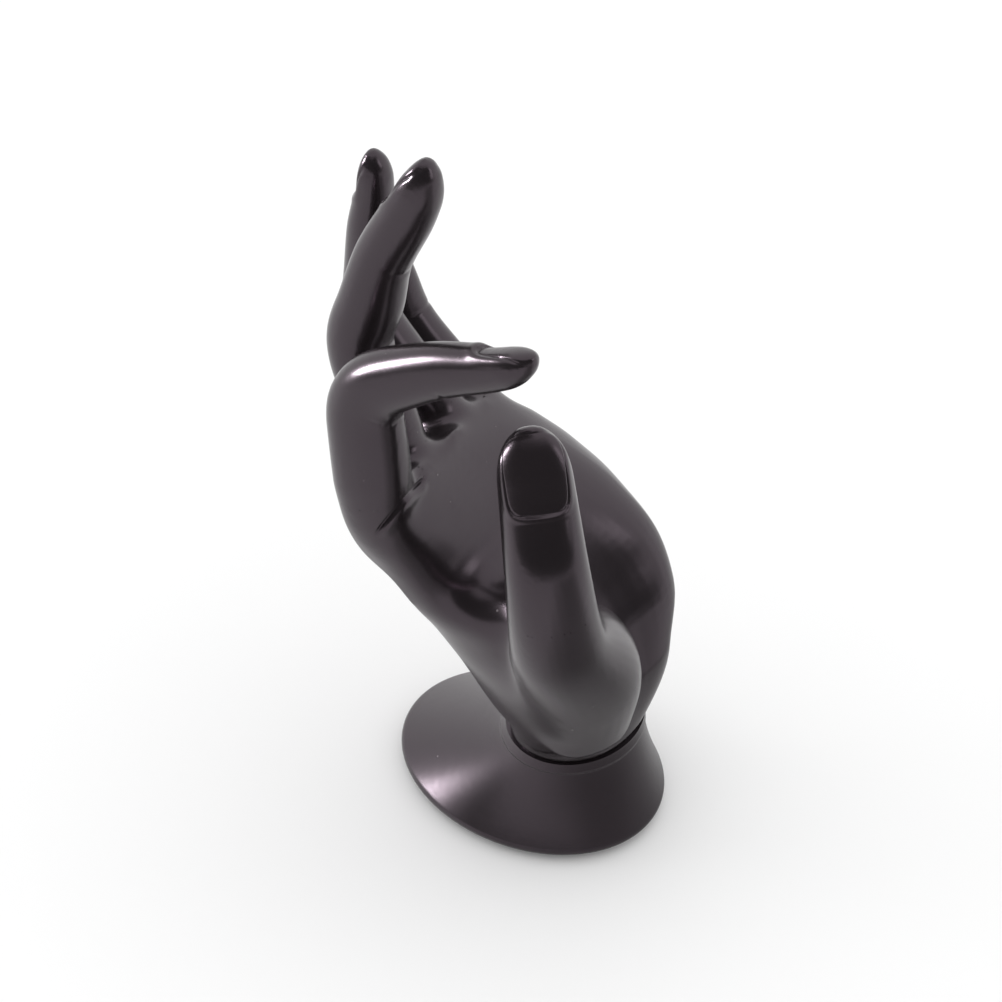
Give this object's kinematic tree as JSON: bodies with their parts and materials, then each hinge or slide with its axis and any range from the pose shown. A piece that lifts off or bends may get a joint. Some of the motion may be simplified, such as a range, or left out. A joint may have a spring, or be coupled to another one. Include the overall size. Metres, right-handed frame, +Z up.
{
  "type": "hand ring holder",
  "caption": "Black display hand with bent forefinger and raised thumb, standing on a flared oval foot; rings go over its fingers.",
  "frame": {"origin": "middle of the felt pad's underside, on the table", "axes": "+Z up; +X from the forefinger's side to the little finger's side; the palm faces -Y"},
  "size_m": [0.083, 0.0839, 0.1829],
  "materials": {
    "casting": "cast resin, black right through, satin to gloss",
    "ballast": "plain cast weight, not seen",
    "felt": "black pressed felt"
  },
  "bodies": {
    "root": {"palm": "casting", "thumb": "casting", "index_finger": "casting", "middle_finger": "casting", "ring_finger": "casting", "little_finger": "casting", "flared_base": "casting", "ballast": "ballast", "felt_pad": "felt"}
  },
  "joints": []
}
